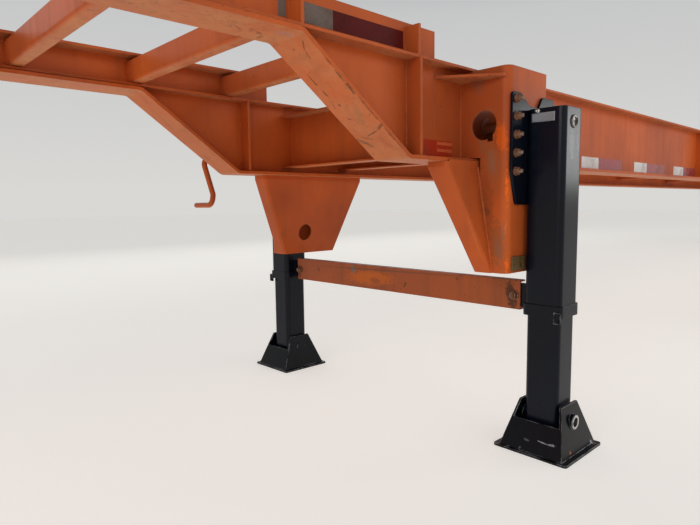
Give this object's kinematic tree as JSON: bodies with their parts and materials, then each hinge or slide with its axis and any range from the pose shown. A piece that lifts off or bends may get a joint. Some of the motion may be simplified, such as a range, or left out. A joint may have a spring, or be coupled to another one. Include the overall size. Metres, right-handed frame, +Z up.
{
  "type": "gooseneck container chassis semi trailer",
  "caption": "Skeletal gooseneck semi trailer for a 53-foot shipping container, parked empty on landing legs and dual wheels.",
  "frame": {"origin": "on the ground below the middle of the overall length and width", "axes": "+X forward to the kingpin, +Y to the trailer's left, +Z up"},
  "size_m": [16.382, 2.591, 1.36],
  "materials": {
    "orange_paint": "satin orange enamel, worn",
    "black_paint": "semi-gloss black",
    "bare_steel": "greased machined steel",
    "suspension_paint": "matt black, dusty",
    "rim_paint": "white enamel",
    "tyre_rubber": "worn black rubber",
    "flap_rubber": "black rubber sheet",
    "lamp_red": "red lens",
    "cast_grey": "cast, dusty"
  },
  "bodies": {
    "chassis": {"left_main_beam": "orange_paint", "right_main_beam": "orange_paint", "left_gooseneck_rail": "orange_paint", "right_gooseneck_rail": "orange_paint", "gooseneck_crossmembers": "orange_paint", "main_crossmembers": "orange_paint", "coupler_plate": "orange_paint", "kingpin": "bare_steel", "front_bolster": "orange_paint", "front_lock_pins": "bare_steel", "service_couplings": "cast_grey", "left_leg_bracket": "orange_paint", "right_leg_bracket": "orange_paint", "left_leg_gusset": "orange_paint", "right_leg_gusset": "orange_paint", "left_leg_outer_tube": "black_paint", "right_leg_outer_tube": "black_paint", "left_leg_inner_tube": "black_paint", "right_leg_inner_tube": "black_paint", "left_leg_foot": "black_paint", "right_leg_foot": "black_paint", "leg_gearbox": "black_paint", "leg_cross_shaft": "black_paint", "leg_crank_handle": "orange_paint", "leg_cross_brace": "orange_paint", "rear_bolster": "orange_paint", "twist_locks": "bare_steel", "tail_lamps": "lamp_red", "underride_guard": "orange_paint", "suspension_hangers": "suspension_paint", "leaf_springs": "suspension_paint", "equalizers": "suspension_paint", "torque_arms": "suspension_paint", "front_axle_beam": "suspension_paint", "rear_axle_beam": "suspension_paint", "brake_chambers": "cast_grey", "air_tank": "suspension_paint", "mud_flaps": "flap_rubber"},
    "front_left_wheel": {"front_left_wheels": "rim_paint", "front_left_tyres": "tyre_rubber"},
    "front_right_wheel": {"front_right_wheels": "rim_paint", "front_right_tyres": "tyre_rubber"},
    "rear_left_wheel": {"rear_left_wheels": "rim_paint", "rear_left_tyres": "tyre_rubber"},
    "rear_right_wheel": {"rear_right_wheels": "rim_paint", "rear_right_tyres": "tyre_rubber"}
  },
  "joints": [
    {"name": "front_left_wheel_spin", "type": "hinge", "parent": "chassis", "child": "front_left_wheel", "pos_m": [-5.9405, 0.984, 0.507], "axis": [0, 1, 0], "continuous": true},
    {"name": "front_right_wheel_spin", "type": "hinge", "parent": "chassis", "child": "front_right_wheel", "pos_m": [-5.9405, -0.984, 0.507], "axis": [0, 1, 0], "continuous": true},
    {"name": "rear_left_wheel_spin", "type": "hinge", "parent": "chassis", "child": "rear_left_wheel", "pos_m": [-7.1855, 0.984, 0.507], "axis": [0, 1, 0], "continuous": true},
    {"name": "rear_right_wheel_spin", "type": "hinge", "parent": "chassis", "child": "rear_right_wheel", "pos_m": [-7.1855, -0.984, 0.507], "axis": [0, 1, 0], "continuous": true}
  ]
}
